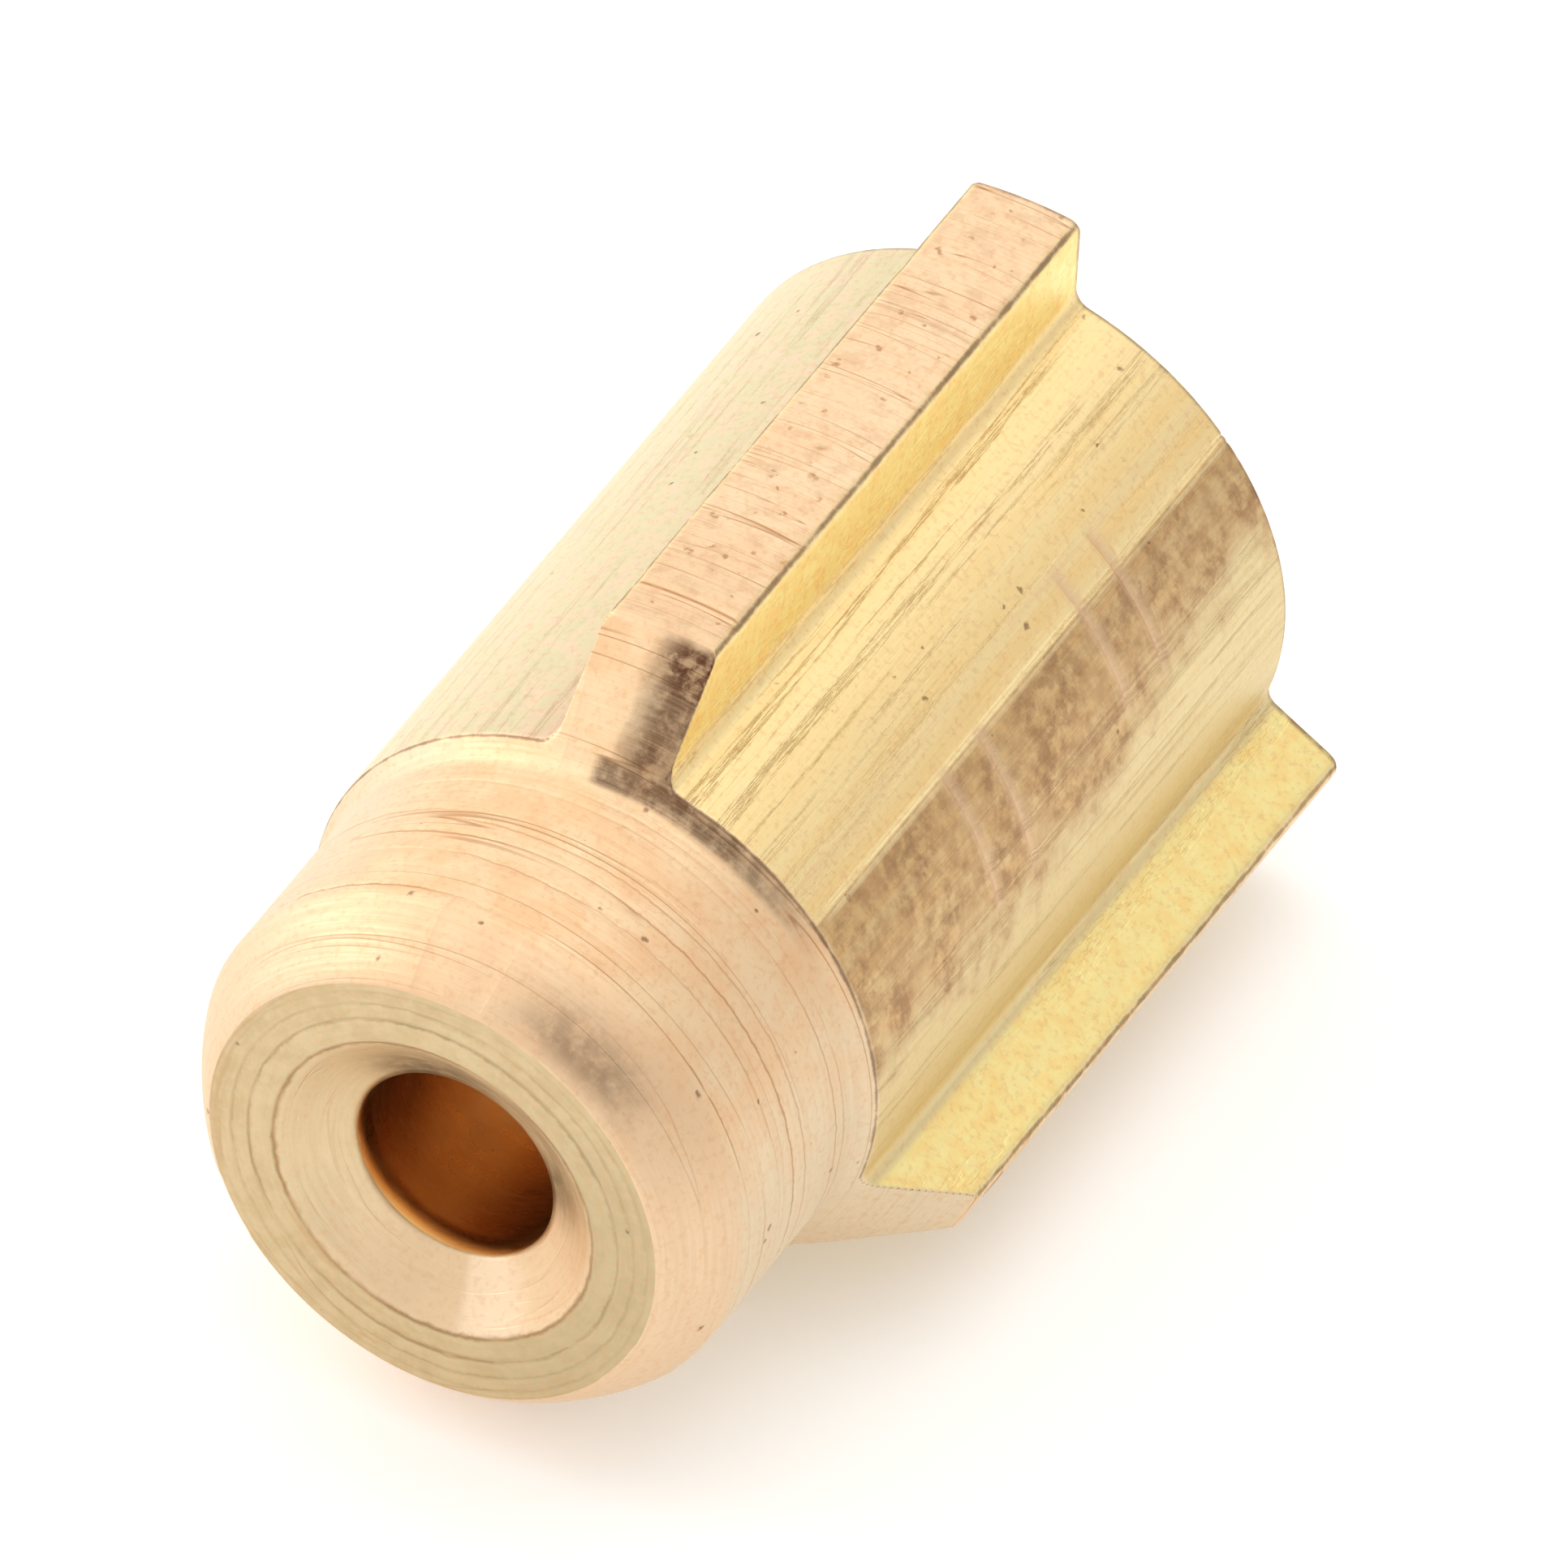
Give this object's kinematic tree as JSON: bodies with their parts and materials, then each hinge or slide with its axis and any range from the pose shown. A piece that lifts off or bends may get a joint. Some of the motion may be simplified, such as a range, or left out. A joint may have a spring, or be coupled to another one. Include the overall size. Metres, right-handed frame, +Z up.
{
  "type": "oil burner nozzle",
  "caption": "Ribbed brass oil burner nozzle with a turned, countersunk nose, holding a metering disc, a swirl distributor and a strainer that screws into its inlet end.",
  "frame": {"origin": "middle of the part's length, under the axis, on the surface that the barrel lies on", "axes": "+Y along the nozzle's axis from the spray end towards the inlet end, +Z up with one rib straight up, +X to the side"},
  "size_m": [0.0098, 0.0148, 0.0093],
  "materials": {
    "body_brass": "bright drawn and turned brass with brown tarnish in places",
    "inner_brass": "turned brass, unpolished",
    "disc_steel": "ground stainless steel",
    "seal_copper": "soft annealed copper",
    "gauze_bronze": "woven bronze wire, dull"
  },
  "bodies": {
    "nozzle": {"nozzle_body": "body_brass", "orifice_disc": "disc_steel", "swirl_distributor": "inner_brass", "lock_screw": "inner_brass", "seal_ring": "seal_copper"},
    "strainer": {"strainer_gauze": "gauze_bronze", "strainer_cap": "inner_brass"},
    "carrier": {"strainer_carrier": "inner_brass"}
  },
  "joints": [
    {"name": "strainer_travel", "type": "slide", "parent": "nozzle", "child": "strainer", "axis": [0, 1, 0], "range_m": [0, 0.002]},
    {"name": "carrier_turn", "type": "hinge", "parent": "strainer", "child": "carrier", "pos_m": [0, 0.006, 0.004], "axis": [0, 1, 0], "range_deg": [0, 1440]}
  ],
  "couplings": [
    {"joint": "carrier_turn", "follows": "strainer_travel", "rad_per_m": 12566}
  ]
}
